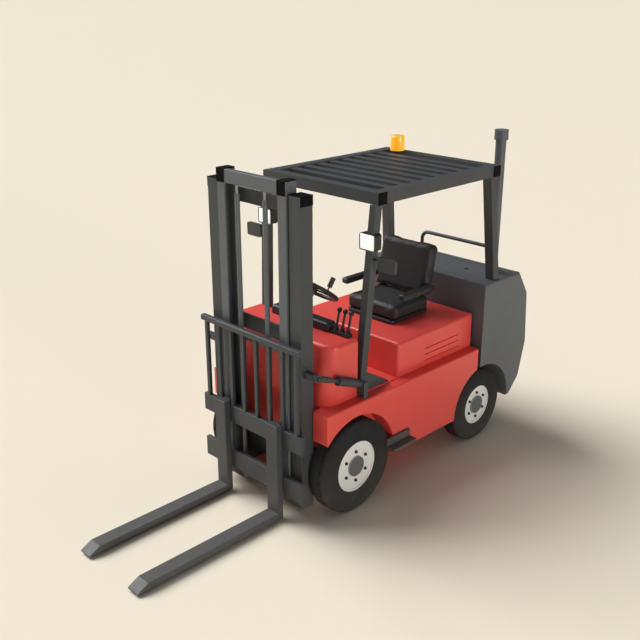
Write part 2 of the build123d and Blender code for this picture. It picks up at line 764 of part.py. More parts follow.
# Seat on the hood: base, cushion and a leaning back
cushion_low = hood_top + seat_base_h
cushion_high = cushion_low + seat_cushion_t
with BuildPart() as seat_base:
    block((-seat_half + seat_inset, seat_half - seat_inset), (seat_front, seat_rear),
          (hood_top, cushion_low))
    fillet(seat_base.edges().filter_by(Axis.Z), seat_inset)
keep(seat_base, "seat_base")

with BuildPart() as seat_cushion:
    block((-seat_half, seat_half), (seat_front, seat_rear), (cushion_low + running_gap, cushion_high))
    fillet(seat_cushion.edges().filter_by(Axis.Z), seat_edge_r)
    fillet(seat_cushion.faces().sort_by(Axis.Z)[-1].edges(), seat_edge_r / 2)
keep(seat_cushion, "seat_cushion")

back_foot = Plane(origin=(0, at_y(seat_rear - seat_back_t), cushion_high + running_gap))
back_lean = radians(seat_back_lean)
back_plane = Plane(origin=back_foot.origin, x_dir=(1, 0, 0), z_dir=(0, -cos(back_lean), sin(back_lean)))
back_len = (seat_back_top - cushion_high) / cos(back_lean)
with BuildPart() as seat_back:
    with BuildSketch(back_plane) as outline:
        with Locations((0, back_len / 2)):
            Rectangle(2 * seat_half, back_len)
        fillet(outline.vertices().group_by(Axis.Y)[-1], seat_edge_r)
    extrude(amount=-seat_back_t)
    back_low = cushion_high + running_gap
    block((-2 * seat_half, 2 * seat_half), (0, wheelbase), (back_low - seat_back_t, back_low), Mode.SUBTRACT)
keep(seat_back, "seat_back")

with BuildPart() as armrests:
    for side, flank in sides:
        arm = tuple(sorted((side * (seat_half + running_gap), side * (seat_half + running_gap + armrest_w))))
        block(arm, (armrest_front, armrest_front + armrest_len), (armrest_z, armrest_z + armrest_h))
    fillet(armrests.edges().filter_by(Axis.X), armrest_h / 3)
keep(armrests, "armrests")

# Steering wheel on its column, with a turning knob on the rim
lean = radians(steering_axis_lean)
wheel_at = (0, at_y(steering_at[0]), steering_at[1])
wheel_plane = Plane(origin=wheel_at, x_dir=(1, 0, 0), z_dir=(0, sin(lean), cos(lean)))
with BuildPart() as steering_wheel:
    with Locations(wheel_plane):
        Torus(steering_wheel_r, steering_rim_r)
        Cylinder(steering_hub_r, steering_hub_h)
        with PolarLocations(steering_wheel_r / 2, steering_spokes, start_angle=-90):
            Box(steering_wheel_r, spoke_w, spoke_t)
        with PolarLocations(steering_wheel_r, 1, start_angle=knob_angle):
            Cylinder(knob_r / 3, steering_knob_h, align=(Align.CENTER, Align.CENTER, Align.MIN))
        with Locations((0, 0, steering_knob_h / 3)):
            with PolarLocations(steering_wheel_r, 1, start_angle=knob_angle):
                Cylinder(knob_r, 2 * steering_knob_h / 3, align=(Align.CENTER, Align.CENTER, Align.MIN))
keep(steering_wheel, "steering_wheel")

column_start = steering_hub_h / 2 + running_gap
with BuildPart() as column:
    rod((0, steering_at[0] - column_start * sin(lean), steering_at[1] - column_start * cos(lean)),
        (0, dash_front, steering_at[1] - (steering_at[0] - dash_front) / sin(lean) * cos(lean)), column_r)
    block((-dash_half, dash_half), (cowl_front, dash_rear), (deck_z, cowl_top + dash_h + running_gap),
          Mode.SUBTRACT)
keep(column, "steering_column")

with BuildPart() as levers:
    gate_len = (lever_count - 1) * lever_pitch + 3 * knob_r
    gate_mid = lever_x + (lever_count - 1) * lever_pitch / 2
    block((gate_mid - gate_len / 2, gate_mid + gate_len / 2),
          (lever_foot_y - 2 * knob_r, lever_foot_y + knob_r), (cowl_top, cowl_top + lever_gate_h))
    for row in range(lever_count):
        x = lever_x + row * lever_pitch
        rod((x, lever_foot_y, cowl_top + lever_gate_h / 2), (x, *lever_knob), lever_r)
        with Locations((x, at_y(lever_knob[0]), lever_knob[1])):
            Sphere(knob_r)
keep(levers, "hand_levers")

# Outer mast: two channels open towards each other, tied at the back and swung on the drive axle
mast_rear = mast_front + mast_depth
inner_rear = inner_front + inner_depth
tie_front = inner_rear + part_gap
channel_in = mast_half - mast_channel_w
foot_top = mast_foot + mast_foot_t
arm_ring_r = drive_tube_r + trunnion_gap + trunnion_wall
with BuildPart() as outer_mast:
    for side, flank in sides:
        channel = tuple(sorted((side * channel_in, side * mast_half)))
        hollow = tuple(sorted((side * (channel_in - part_gap), side * (mast_half - mast_flange))))
        block(channel, (mast_front, mast_rear), (mast_foot, mast_top - mast_cap_t))
        block(hollow, (mast_front + mast_flange, mast_rear - mast_flange), (mast_foot, mast_top),
              Mode.SUBTRACT)
    for low, high in mast_ties:
        block((-channel_in - mast_flange, channel_in + mast_flange), (tie_front, mast_rear), (low, high))
    block((-mast_half, mast_half), (mast_front, mast_rear), (mast_foot, foot_top))
    for side, flank in sides:
        with BuildSketch(side_plane(side * arm_inner_x)):
            with BuildLine():
                Polyline((at_y(mast_rear - mast_flange), arm_low), (at_y(mast_rear - mast_flange), arm_high),
                         (front_axle_y, front_tyre_r + arm_ring_r),
                         (front_axle_y, front_tyre_r - arm_ring_r),
                         close=True)
            make_face()
            with Locations((front_axle_y, front_tyre_r)):
                Circle(arm_ring_r)
                Circle(drive_tube_r + trunnion_gap, mode=Mode.SUBTRACT)
        extrude(amount=side * (arm_outer_x - arm_inner_x))
        bracket = tuple(sorted((side * mast_half, side * (tilt_x - tilt_eye_t / 2 - part_gap))))
        block(bracket, (tilt_eye[0] - tilt_eye_r, tilt_eye[0] + tilt_eye_r),
              (tilt_eye[1] - tilt_eye_r, tilt_eye[1] + tilt_eye_r))
        pin_end = side * (tilt_x + tilt_eye_t / 2 + part_gap)
        rod((side * mast_half, *tilt_eye), (pin_end, *tilt_eye), tilt_pin_r)
keep(outer_mast, "outer_mast")

with BuildPart() as mast_caps:
    for side, flank in sides:
        channel = tuple(sorted((side * channel_in, side * mast_half)))
        block(channel, (mast_front, mast_rear), (mast_top - mast_cap_t, mast_top))
        cheek = tuple(sorted((side * mast_half, side * (mast_half + mast_cap_t))))
        block(cheek, (mast_front, mast_rear), (mast_top - mast_cap_h, mast_top))
keep(mast_caps, "outer_mast_caps")

with BuildPart() as lift_cylinders:
    for side, flank in sides:
        rod((side * lift_x, lift_y, foot_top), (side * lift_x, lift_y, lift_barrel_top), lift_barrel_r)
        rod((side * lift_x, lift_y, lift_rod_foot - lift_rod_room),
            (side * lift_x, lift_y, lift_barrel_top), lift_rod_r + running_gap, Mode.SUBTRACT)
keep(lift_cylinders, "lift_cylinders")

# Inner mast: channels open inwards for the carriage rollers, joined by the crown and two ties
inner_in = inner_half - inner_w
with BuildPart() as inner_mast:
    for side, flank in sides:
        channel = tuple(sorted((side * inner_in, side * inner_half)))
        hollow = tuple(sorted((side * (inner_in - part_gap), side * (inner_half - inner_flange))))
        block(channel, (inner_front, inner_rear), (inner_foot, inner_top - mast_cap_t))
        block(hollow, (inner_front + inner_flange, inner_rear - inner_flange), (inner_foot, inner_top),
              Mode.SUBTRACT)
    block((-inner_in, inner_in), (inner_front, inner_front + crown_t), (crown_low, inner_top - mast_cap_t))
    for low, high in inner_ties:
        block((-inner_in - inner_flange, inner_in + inner_flange),
              (inner_rear - inner_flange + part_gap, inner_rear), (low, high))
keep(inner_mast, "inner_mast")

with BuildPart() as inner_caps:
    for side, flank in sides:
        channel = tuple(sorted((side * inner_in, side * inner_half)))
        block(channel, (inner_front, inner_rear), (inner_top - mast_cap_t, inner_top))
        block(channel, (inner_front - mast_cap_t, inner_front), (crown_low, inner_top))
keep(inner_caps, "inner_mast_caps")

with BuildPart() as lift_rods:
    for side, flank in sides:
        rod((side * lift_x, lift_y, lift_rod_foot), (side * lift_x, lift_y, crown_low), lift_rod_r)
keep(lift_rods, "lift_rods")

# Carriage: two bars on roller plates that run inside the inner mast
carriage_back = carriage_front + bar_t
roller_y = (inner_front + inner_rear) / 2
roller_r = inner_depth / 2 - inner_flange - running_gap
roller_end = inner_half - inner_flange - running_gap
plate_out = carriage_plate_x + carriage_plate_t
with BuildPart() as carriage:
    for low, high in (upper_bar, lower_bar):
        block((-carriage_half, carriage_half), (carriage_front, carriage_back), (low, high))
    fillet(carriage.edges().filter_by(Axis.X), bar_edge_r)
    for side, flank in sides:
        plate = tuple(sorted((side * carriage_plate_x, side * plate_out)))
        block(plate, (carriage_front + bar_t / 2, roller_y + roller_r / 2),
              (lower_bar[0] + bar_edge_r, upper_bar[1] - carriage_plate_drop))
        for z in (lower_bar[0] + 2 * roller_r, upper_bar[1] - carriage_plate_drop - roller_r):
            rod((side * carriage_plate_x, roller_y, z), (side * roller_end, roller_y, z), roller_r)
keep(carriage, "carriage")

# Load backrest: a top tube on upright bars that stand on the upper carriage bar
with BuildPart() as backrest:
    block((-backrest_half, backrest_half), (backrest_y - backrest_tube / 2, backrest_y + backrest_tube / 2),
          (backrest_top - backrest_tube, backrest_top))
    fillet(backrest.edges().filter_by(Axis.X), backrest_tube / 4)
    bar_pitch = 2 * (backrest_half - backrest_tube) / (backrest_bars - 1)
    for row in range(backrest_bars):
        x = -backrest_half + backrest_tube + row * bar_pitch
        block((x - backrest_bar_w / 2, x + backrest_bar_w / 2),
              (backrest_y - backrest_bar_w / 2, backrest_y + backrest_bar_w / 2),
              (upper_bar[1], backrest_top - backrest_tube / 2))
keep(backrest, "load_backrest")

# Forks: an upright shank in front of the carriage bars and a blade with a thin nose
shank_front = carriage_front - fork_t
blade_top = fork_bottom + fork_t
with BuildPart() as forks:
    for side, flank in sides:
        near = side * fork_inner_x
        with BuildSketch(side_plane(near)) as section:
            with BuildLine():
                Polyline((at_y(carriage_front), fork_shank_top), (at_y(carriage_front), fork_bottom),
                         (at_y(-tip_reach), fork_bottom), (at_y(-tip_reach), fork_bottom + fork_tip_t),
                         (at_y(-tip_reach + fork_nose_len), blade_top), (at_y(shank_front), blade_top),
                         (at_y(shank_front), fork_shank_top), close=True)
            make_face()
            corner = section.vertices().sort_by(lambda v: -v.X + v.Y)[0]
            fillet(corner, fork_heel_r)
        extrude(amount=side * fork_w)
        hook = tuple(sorted((near + side * fork_hook_x, near + side * (fork_hook_x + fork_hook_w))))
        block(hook, (carriage_front, carriage_front + fork_hook_depth),
              (upper_bar[1] + running_gap, fork_shank_top))
keep(forks, "forks")

# Tilt cylinders: a barrel pinned above each fender and a rod reaching to the mast's side pin
stroke_dir = Vector(0, tilt_eye[0] - tilt_pin[0], tilt_eye[1] - tilt_pin[1])
tilt_len = stroke_dir.length
stroke_dir = stroke_dir / tilt_len


def along(x, distance):
    """Point on a tilt cylinder's line, counted from its lower pin, with y from the front axle."""
    return (x, tilt_pin[0] + distance * stroke_dir.Y, tilt_pin[1] + distance * stroke_dir.Z)


eye_half = tilt_eye_t / 2
with BuildPart() as tilt_brackets:
    for side, flank in sides:
        for near in (eye_half + knuckle_gap, -eye_half - knuckle_gap - tilt_lug_t):
            lug = tuple(sorted((side * (tilt_x + near), side * (tilt_x + near + tilt_lug_t))))
            block(lug, (tilt_pin[0] - tilt_eye_r, tilt_pin[0] + tilt_eye_r),
                  (deck_z, tilt_pin[1] + tilt_eye_r))
        span = eye_half + knuckle_gap + tilt_lug_t
        rod((side * (tilt_x - span), *tilt_pin), (side * (tilt_x + span), *tilt_pin), tilt_pin_r)
keep(tilt_brackets, "tilt_brackets")

for side, flank in sides:
    with BuildPart() as tilt_barrel:
        rod((side * (tilt_x - eye_half), *tilt_pin), (side * (tilt_x + eye_half), *tilt_pin), tilt_eye_r)
        rod(along(side * tilt_x, tilt_eye_r / 2), along(side * tilt_x, tilt_neck), tilt_neck_r)
        rod(along(side * tilt_x, tilt_neck), along(side * tilt_x, tilt_barrel_end), tilt_barrel_r)
        rod(along(side * tilt_x, tilt_bore_start), along(side * tilt_x, tilt_barrel_end),
            tilt_rod_r + running_gap, Mode.SUBTRACT)
        rod((side * (tilt_x - eye_half), *tilt_pin), (side * (tilt_x + eye_half), *tilt_pin),
            tilt_pin_r + running_gap, Mode.SUBTRACT)
    keep(tilt_barrel, f"tilt_barrel_{flank}")
    with BuildPart() as tilt_rod:
        rod(along(side * tilt_x, tilt_rod_start), along(side * tilt_x, tilt_len - tilt_pin_r - tilt_drift),
            tilt_rod_r)
        rod(along(side * tilt_x, tilt_len - tilt_sleeve_len),
            along(side * tilt_x, tilt_len - rod_eye_r + tilt_sleeve_sink), tilt_sleeve_r)
        rod((side * (tilt_x - eye_half), *tilt_eye), (side * (tilt_x + eye_half), *tilt_eye), rod_eye_r)
        rod((side * (tilt_x - eye_half), *tilt_eye), (side * (tilt_x + eye_half), *tilt_eye),
            tilt_pin_r + tilt_drift, Mode.SUBTRACT)
    keep(tilt_rod, f"tilt_rod_{flank}")
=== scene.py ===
# %% [markdown]
# # A counterbalance forklift truck
# The solids of this truck come from a CAD model that is loaded here as a fixed frame. This lesson gives
# every surface its finish, and adds what a CAD model leaves to the artist: tyre tread, wheel nuts, lamp
# glass, a stuffed seat and rubber boots. Nothing in the frame is moved or resized.

# %% Load the frame
import json
import math

import bmesh
import bpy
from mathutils import Matrix, Vector


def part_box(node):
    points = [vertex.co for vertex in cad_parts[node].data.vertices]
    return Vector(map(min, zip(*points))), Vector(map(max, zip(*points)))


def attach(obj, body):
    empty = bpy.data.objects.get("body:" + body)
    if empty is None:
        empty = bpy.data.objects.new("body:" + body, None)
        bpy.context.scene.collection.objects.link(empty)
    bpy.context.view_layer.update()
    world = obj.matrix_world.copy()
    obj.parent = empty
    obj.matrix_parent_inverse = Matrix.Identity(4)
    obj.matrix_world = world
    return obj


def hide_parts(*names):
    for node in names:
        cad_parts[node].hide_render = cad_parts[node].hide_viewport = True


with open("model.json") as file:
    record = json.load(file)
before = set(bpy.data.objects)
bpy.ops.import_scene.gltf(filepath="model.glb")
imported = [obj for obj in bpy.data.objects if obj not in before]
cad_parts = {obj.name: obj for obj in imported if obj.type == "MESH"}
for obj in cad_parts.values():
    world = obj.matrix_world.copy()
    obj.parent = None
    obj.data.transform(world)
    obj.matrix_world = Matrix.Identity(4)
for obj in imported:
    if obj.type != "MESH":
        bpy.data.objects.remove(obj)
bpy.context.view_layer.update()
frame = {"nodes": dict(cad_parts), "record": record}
nodes = frame["nodes"]
SIDES = ((1, "left"), (-1, "right"))

# %% [markdown]
# ## Shared effects as node groups
# Paint on a working truck is never one flat colour. Two effects are used by almost every finish, so each is
# built once as a shader node group with named inputs: a weathering effect, which mottles a colour and lays
# dust near the ground, and a grain effect, which gives the height for a bump. Noise on Object coordinates is
# used instead of an image, so the pattern stays with the piece when it moves.

# %% Weathering and grain groups
def new_group(name, inputs, outputs):
    """Start a shader node group and return its tree with the input and output nodes."""
    tree = bpy.data.node_groups.new(name, "ShaderNodeTree")
    for label, kind, value in inputs:
        socket = tree.interface.new_socket(label, in_out="INPUT", socket_type=kind)
        socket.default_value = value
    for label, kind in outputs:
        tree.interface.new_socket(label, in_out="OUTPUT", socket_type=kind)
    return tree, tree.nodes.new("NodeGroupInput"), tree.nodes.new("NodeGroupOutput")


def noise_node(tree, scale, detail):
    """Add a noise texture to a tree."""
    node = tree.nodes.new("ShaderNodeTexNoise")
    node.inputs["Scale"].default_value = scale
    node.inputs["Detail"].default_value = detail
    return node


def math_node(tree, operation, first, second, clamp=False):
    """Add a math node whose two inputs are sockets or plain numbers, and return its output."""
    node = tree.nodes.new("ShaderNodeMath")
    node.operation = operation
    node.use_clamp = clamp
    for place, value in enumerate((first, second)):
        if isinstance(value, (int, float)):
            node.inputs[place].default_value = value
        else:
            tree.links.new(value, node.inputs[place])
    return node.outputs[0]


def mix_colours(tree, factor, first, second):
    """Mix two colours, given as sockets, by a factor socket, and return the result."""
    node = tree.nodes.new("ShaderNodeMix")
    node.data_type = "RGBA"
    tree.links.new(factor, node.inputs[0])
    tree.links.new(first, node.inputs[6])
    tree.links.new(second, node.inputs[7])
    return node.outputs[2]


weather, enter, leave = new_group(
    "weathering",
    [("Position", "NodeSocketVector", (0, 0, 0)), ("Paint", "NodeSocketColor", (1, 1, 1, 1)),
     ("Faded", "NodeSocketColor", (1, 1, 1, 1)), ("Dust", "NodeSocketColor", (0.30, 0.26, 0.21, 1)),
     ("Dust amount", "NodeSocketFloat", 0.3), ("Dust height", "NodeSocketFloat", 0.6),
     ("Roughness", "NodeSocketFloat", 0.4)],
    [("Color", "NodeSocketColor"), ("Roughness", "NodeSocketFloat")])
broad = noise_node(weather, 2.3, 4.0)
fine = noise_node(weather, 17.0, 6.0)
height = weather.nodes.new("ShaderNodeSeparateXYZ")
for target in (broad, fine, height):
    weather.links.new(enter.outputs["Position"], target.inputs["Vector"])
faded = mix_colours(weather, broad.outputs[0], enter.outputs["Paint"], enter.outputs["Faded"])
rise = math_node(weather, "DIVIDE", height.outputs["Z"], enter.outputs["Dust height"])
near_ground = math_node(weather, "SUBTRACT", 1.0, rise, clamp=True)
patchy = math_node(weather, "MULTIPLY", near_ground, fine.outputs[0])
dusty = math_node(weather, "MULTIPLY", patchy, enter.outputs["Dust amount"], clamp=True)
weather.links.new(mix_colours(weather, dusty, faded, enter.outputs["Dust"]), leave.inputs["Color"])
spread = math_node(weather, "MULTIPLY", math_node(weather, "SUBTRACT", fine.outputs[0], 0.5), 0.25)
dull = math_node(weather, "ADD", math_node(weather, "MULTIPLY", dusty, 0.4), spread)
weather.links.new(math_node(weather, "ADD", enter.outputs["Roughness"], dull, clamp=True),
                  leave.inputs["Roughness"])

grain, enter, leave = new_group(
    "surface_grain",
    [("Position", "NodeSocketVector", (0, 0, 0)), ("Scale", "NodeSocketFloat", 60.0)],
    [("Height", "NodeSocketFloat")])
speckle = noise_node(grain, 60.0, 3.0)
grain.links.new(enter.outputs["Position"], speckle.inputs["Vector"])
grain.links.new(enter.outputs["Scale"], speckle.inputs["Scale"])
grain.links.new(speckle.outputs[0], leave.inputs["Height"])
print("groups:", weather.name, grain.name)

# %% [markdown]
# ## Finishes
# Each finish is one material for a slot of the record: red enamel on the body, satin grey on mast and
# guard, a rougher grey on the casting, grained plastic, vinyl, steel, rubber and lenses. They could all be
# hand-made node trees, but they share one recipe, so a function builds them and only the values differ.

# %% Finish maker
def finish(name, paint, faded, roughness, grain_scale, grain_depth, dust, dust_height, metallic=0.0,
           coat=0.0):
    """Make one weathered finish. Depth is in metres, dust is a share and its height is in metres."""
    material = bpy.data.materials.new(name)
    material.use_nodes = True
    tree = material.node_tree
    shader = tree.nodes["Principled BSDF"]
    shader.inputs["Metallic"].default_value = metallic
    shader.inputs["Coat Weight"].default_value = coat
    shader.inputs["Coat Roughness"].default_value = 0.15
    place = tree.nodes.new("ShaderNodeTexCoord")
    worn = tree.nodes.new("ShaderNodeGroup")
    worn.node_tree = weather
    worn.inputs["Paint"].default_value = (*paint, 1)
    worn.inputs["Faded"].default_value = (*faded, 1)
    worn.inputs["Dust amount"].default_value = dust
    worn.inputs["Dust height"].default_value = dust_height
    worn.inputs["Roughness"].default_value = roughness
    rough = tree.nodes.new("ShaderNodeGroup")
    rough.node_tree = grain
    rough.inputs["Scale"].default_value = grain_scale
    bump = tree.nodes.new("ShaderNodeBump")
    bump.inputs["Strength"].default_value = 0.6
    bump.inputs["Distance"].default_value = grain_depth
    tree.links.new(place.outputs["Object"], worn.inputs["Position"])
    tree.links.new(place.outputs["Object"], rough.inputs["Position"])
    tree.links.new(worn.outputs["Color"], shader.inputs["Base Color"])
    tree.links.new(worn.outputs["Roughness"], shader.inputs["Roughness"])
    tree.links.new(rough.outputs["Height"], bump.inputs["Height"])
    tree.links.new(bump.outputs["Normal"], shader.inputs["Normal"])
    return material


finishes = {
    "body_paint": finish("red_enamel", (0.85, 0.077, 0.061), (0.79, 0.072, 0.057), roughness=0.42,
                         grain_scale=420, grain_depth=0.0004, dust=0.18, dust_height=0.7, coat=0.15),
    "floor_tread": finish("tread_plate", (0.045, 0.046, 0.048), (0.06, 0.06, 0.06), roughness=0.55,
                          grain_scale=300, grain_depth=0.0006, dust=0.5, dust_height=1.2),
    "dark_paint": finish("satin_grey", (0.052, 0.058, 0.063), (0.046, 0.051, 0.056), roughness=0.48,
                         grain_scale=380, grain_depth=0.0004, dust=0.30, dust_height=0.5),
    "mast_paint": finish("mast_grey", (0.118, 0.132, 0.142), (0.108, 0.121, 0.130), roughness=0.42,
                         grain_scale=380, grain_depth=0.0004, dust=0.25, dust_height=0.5),
    "casting": finish("casting_grey", (0.112, 0.124, 0.132), (0.104, 0.115, 0.123), roughness=0.50,
                      grain_scale=140, grain_depth=0.0012, dust=0.35, dust_height=0.7),
    "black_plastic": finish("grained_plastic", (0.012, 0.012, 0.013), (0.016, 0.016, 0.017), roughness=0.46,
                            grain_scale=700, grain_depth=0.0004, dust=0.2, dust_height=0.6),
    "seat_cover": finish("seat_vinyl", (0.016, 0.016, 0.017), (0.020, 0.020, 0.021), roughness=0.58,
                         grain_scale=520, grain_depth=0.0006, dust=0.2, dust_height=0.9),
    "rod_steel": finish("ground_steel", (0.30, 0.31, 0.32), (0.26, 0.27, 0.28), roughness=0.30,
                        grain_scale=900, grain_depth=0.0002, dust=0.2, dust_height=0.6, metallic=0.85),
    "tyre_rubber": finish("worn_rubber", (0.009, 0.009, 0.010), (0.012, 0.012, 0.012), roughness=0.82,
                          grain_scale=240, grain_depth=0.0010, dust=0.30, dust_height=0.5),
    "rim_paint": finish("rim_enamel", (0.90, 0.90, 0.86), (0.86, 0.86, 0.82), roughness=0.40,
                        grain_scale=380, grain_depth=0.0004, dust=0.20, dust_height=0.55),
}
cap_black = finish("cap_black", (0.002, 0.002, 0.002), (0.003, 0.003, 0.003), roughness=0.60,
                   grain_scale=700, grain_depth=0.0002, dust=0.0, dust_height=0.6)
cap_black.node_tree.nodes["Principled BSDF"].inputs["Specular IOR Level"].default_value = 0.08
print("finishes:", sorted(finishes))

# %% [markdown]
# ## Lenses
# The head lamps show as bright white plastic and the beacon as amber. A lens could be real glass over a
# reflector, but at this size a glossy plastic with a little light of its own reads the same and stays true
# under any light.

# %% Lens maker
def lens(name, colour, glow, roughness):
    """Make a glossy lens that also gives a little light of its own colour."""
    material = bpy.data.materials.new(name)
    material.use_nodes = True
    shader = material.node_tree.nodes["Principled BSDF"]
    shader.inputs["Base Color"].default_value = (*colour, 1)
    shader.inputs["Roughness"].default_value = roughness
    shader.inputs["Coat Weight"].default_value = 0.6
    shader.inputs["Emission Color"].default_value = (*colour, 1)
    shader.inputs["Emission Strength"].default_value = glow
    return material


finishes["lamp_glass"] = lens("lamp_lens", (0.92, 0.93, 0.92), 0.50, 0.12)
finishes["beacon_lens"] = lens("amber_lens", (0.98, 0.43, 0.015), 0.56, 0.18)
mirror_silver = lens("mirror_silver", (0.80, 0.82, 0.83), 0.0, 0.03)
mirror_silver.node_tree.nodes["Principled BSDF"].inputs["Metallic"].default_value = 1.0
print("lenses:", finishes["lamp_glass"].name, finishes["beacon_lens"].name, mirror_silver.name)

# %% [markdown]
# ## Paint the CAD nodes
# The record says which slot each node takes. Real sheet metal and rolled sections have softly broken edges
# that catch the light, so the nodes also get a small bevel. The CAD mesh itself stays untouched: modifiers
# first weld its loose triangles, then merge flat ones, and only then round the sharp edges.

# %% Finish and edges of the CAD nodes
EDGE_WIDTH = {"chassis": 0.006, "cowl": 0.004, "engine_hood": 0.004, "counterweight": 0.005, "forks": 0.004,
              "carriage": 0.003, "outer_mast": 0.004, "inner_mast": 0.004, "guard_frame": 0.005,
              "front_pillars": 0.005, "rear_pillars": 0.005, "side_steps": 0.003, "load_backrest": 0.003,
              "armrests": 0.008, "guard_caps": 0.002, "outer_mast_caps": 0.0015, "inner_mast_caps": 0.0015,
              "tilt_brackets": 0.002, "seat_base": 0.004, "dash_pad": 0.003}
EDGE_ANGLE = math.radians(40)


def soften(node, width):
    """Round a CAD node's sharp edges with live modifiers."""
    weld = node.modifiers.new("weld", "WELD")
    weld.merge_threshold = 0.00002
    flat = node.modifiers.new("flat", "DECIMATE")
    flat.decimate_type = "DISSOLVE"
    flat.angle_limit = math.radians(0.5)
    edge = node.modifiers.new("edge", "BEVEL")
    edge.width = width
    edge.segments = 2
    edge.limit_method = "ANGLE"
    edge.angle_limit = EDGE_ANGLE
    edge.harden_normals = True


# The ends of the tubes are near black, and the exhaust stack is as pale as the casting
own_finish = {name: cap_black for name in nodes if name.endswith("_caps")}
own_finish["exhaust_stack"] = finishes["casting"]
for row in frame["record"]["subparts"]:
    node = nodes[row["node"]]
    node.data.materials.clear()
    node.data.materials.append(own_finish.get(row["node"], finishes[row["material_slot"]]))
    if row["node"] in EDGE_WIDTH:
        soften(node, EDGE_WIDTH[row["node"]])

# %% [markdown]
# ## A way to keep pieces
# Every new piece is a bmesh that is shaped in place, so its object stays at the origin. One helper turns it
# into a mesh object, gives it its finish and ties it to the body that carries it.

# %% Piece helpers
def keep(shape, name, body, slot, smooth=35.0):
    """Make a finished piece from a bmesh, on a body and with a slot's finish."""
    bmesh.ops.recalc_face_normals(shape, faces=shape.faces)
    mesh = bpy.data.meshes.new(name)
    shape.to_mesh(mesh)
    shape.free()
    mesh.materials.append(finishes[slot])
    mesh.shade_smooth()
    mesh.set_sharp_from_angle(angle=math.radians(smooth))
    piece = bpy.data.objects.new(name, mesh)
    bpy.context.scene.collection.objects.link(piece)
    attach(piece, body)
    return piece


def side_box(node, side):
    """Return the corners of the part of a node that lies on one side of the truck."""
    points = [v.co for v in nodes[node].data.vertices if side * v.co.x > 0]
    low = Vector(min(p[axis] for p in points) for axis in range(3))
    high = Vector(max(p[axis] for p in points) for axis in range(3))
    return low, high


def facing(place, direction):
    """Return a matrix that puts a shape at a place with its +Z along a direction."""
    turn = Vector((0, 0, 1)).rotation_difference(Vector(direction)).to_matrix().to_4x4()
    return Matrix.Translation(place) @ turn


def bevel_edges(shape, edges, offset, segments):
    """Round some edges of a bmesh."""
    bmesh.ops.bevel(shape, geom=edges, offset=offset, segments=segments, profile=0.5, affect="EDGES",
                    material=-1)


def disc(shape, place, direction, radius, top_radius, depth, segments=32):
    """Add a round or many-sided stub that stands on a place."""
    middle = Vector(place) + Vector(direction) * depth / 2
    bmesh.ops.create_cone(shape, cap_ends=True, segments=segments, radius1=radius, radius2=top_radius,
                          depth=depth, matrix=facing(middle, direction))


print("helpers ready")

# %% [markdown]
# ## Tyres
# Solid industrial tyres have a flat tread with a groove on each side of the middle, short slots across the
# shoulders and a raised band on the sidewall. A section drawn with a few points is spun round the axle. The
# shoulders are rounded by a bevel and the slots are insets pressed into every few faces of the tread.

# %% Tyre maker
SPIN_STEPS = 96
GROOVE_PLACE = 0.30
GROOVE_DEPTH = 0.007
GROOVE_WIDTH = 0.010
BAND_INSET = 0.022
BAND_SLOPE = 0.004
BAND_HEIGHT = 0.002
SHOULDER_ROUND = 0.024
SLOT_EVERY = 4
SLOT_MARGIN = 0.004
SLOT_DEPTH = 0.006
BEAD_GAP = 0.0005
SAME = 0.0005


def tyre(end, flank):
    """Spin one tyre round its axle, in the space of its CAD node."""
    node = f"tyre_{end}_{flank}"
    low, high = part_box(node)
    centre = (low + high) / 2
    radius = (high.z - low.z) / 2
    half = (high.x - low.x) / 2
    rim_low, rim_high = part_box(f"rim_{end}_{flank}")
    bead = (rim_high.z - rim_low.z) / 2 + BEAD_GAP
    groove = half * GROOVE_PLACE
    section = [(-half, bead), (-half, radius), (-groove - GROOVE_WIDTH, radius),
               (-groove - GROOVE_WIDTH / 2, radius - GROOVE_DEPTH), (-groove, radius), (groove, radius),
               (groove + GROOVE_WIDTH / 2, radius - GROOVE_DEPTH), (groove + GROOVE_WIDTH, radius),
               (half, radius), (half, bead)]
    shape = bmesh.new()
    ring = [shape.verts.new((x, 0, r)) for x, r in section]
    loop = [shape.edges.new((a, b)) for a, b in zip(ring, ring[1:] + ring[:1])]
    bmesh.ops.spin(shape, geom=ring + loop, cent=(0, 0, 0), axis=(1, 0, 0), angle=math.tau, steps=SPIN_STEPS,
                   use_merge=True)
    bmesh.ops.remove_doubles(shape, verts=shape.verts, dist=0.0001)
    bmesh.ops.recalc_face_normals(shape, faces=shape.faces)
    walls = [f for f in shape.faces if abs(f.normal.x) > 0.9]
    bmesh.ops.inset_region(shape, faces=walls, thickness=BAND_INSET, depth=0.0)
    bmesh.ops.inset_region(shape, faces=walls, thickness=BAND_SLOPE, depth=BAND_HEIGHT)
    corners = [e for e in shape.edges if e.is_manifold
               and all(abs(abs(v.co.x) - half) < SAME and v.co.yz.length > radius - SAME for v in e.verts)]
    bevel_edges(shape, corners, SHOULDER_ROUND, 5)
    step = math.tau / SPIN_STEPS
    slots = []
    for face in shape.faces:
        middle = face.calc_center_median()
        on_shoulder = half * 0.5 < abs(middle.x) < half - SHOULDER_ROUND
        if middle.yz.length > radius - 0.002 and on_shoulder:
            turn = int((math.atan2(middle.z, middle.y) + math.pi) / step)
            if turn % SLOT_EVERY == 0:
                slots.append(face)
    bmesh.ops.inset_individual(shape, faces=slots, thickness=SLOT_MARGIN, depth=-SLOT_DEPTH)
    bmesh.ops.translate(shape, verts=shape.verts, vec=centre)
    body = f"{end}_wheel_{flank}"
    piece = keep(shape, f"rubber_{end}_{flank}", body, "tyre_rubber")
    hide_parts(node)
    return piece


tyres = [tyre(end, flank) for end in ("front", "rear") for side, flank in SIDES]
print("tyres:", [len(t.data.polygons) for t in tyres], "faces each")

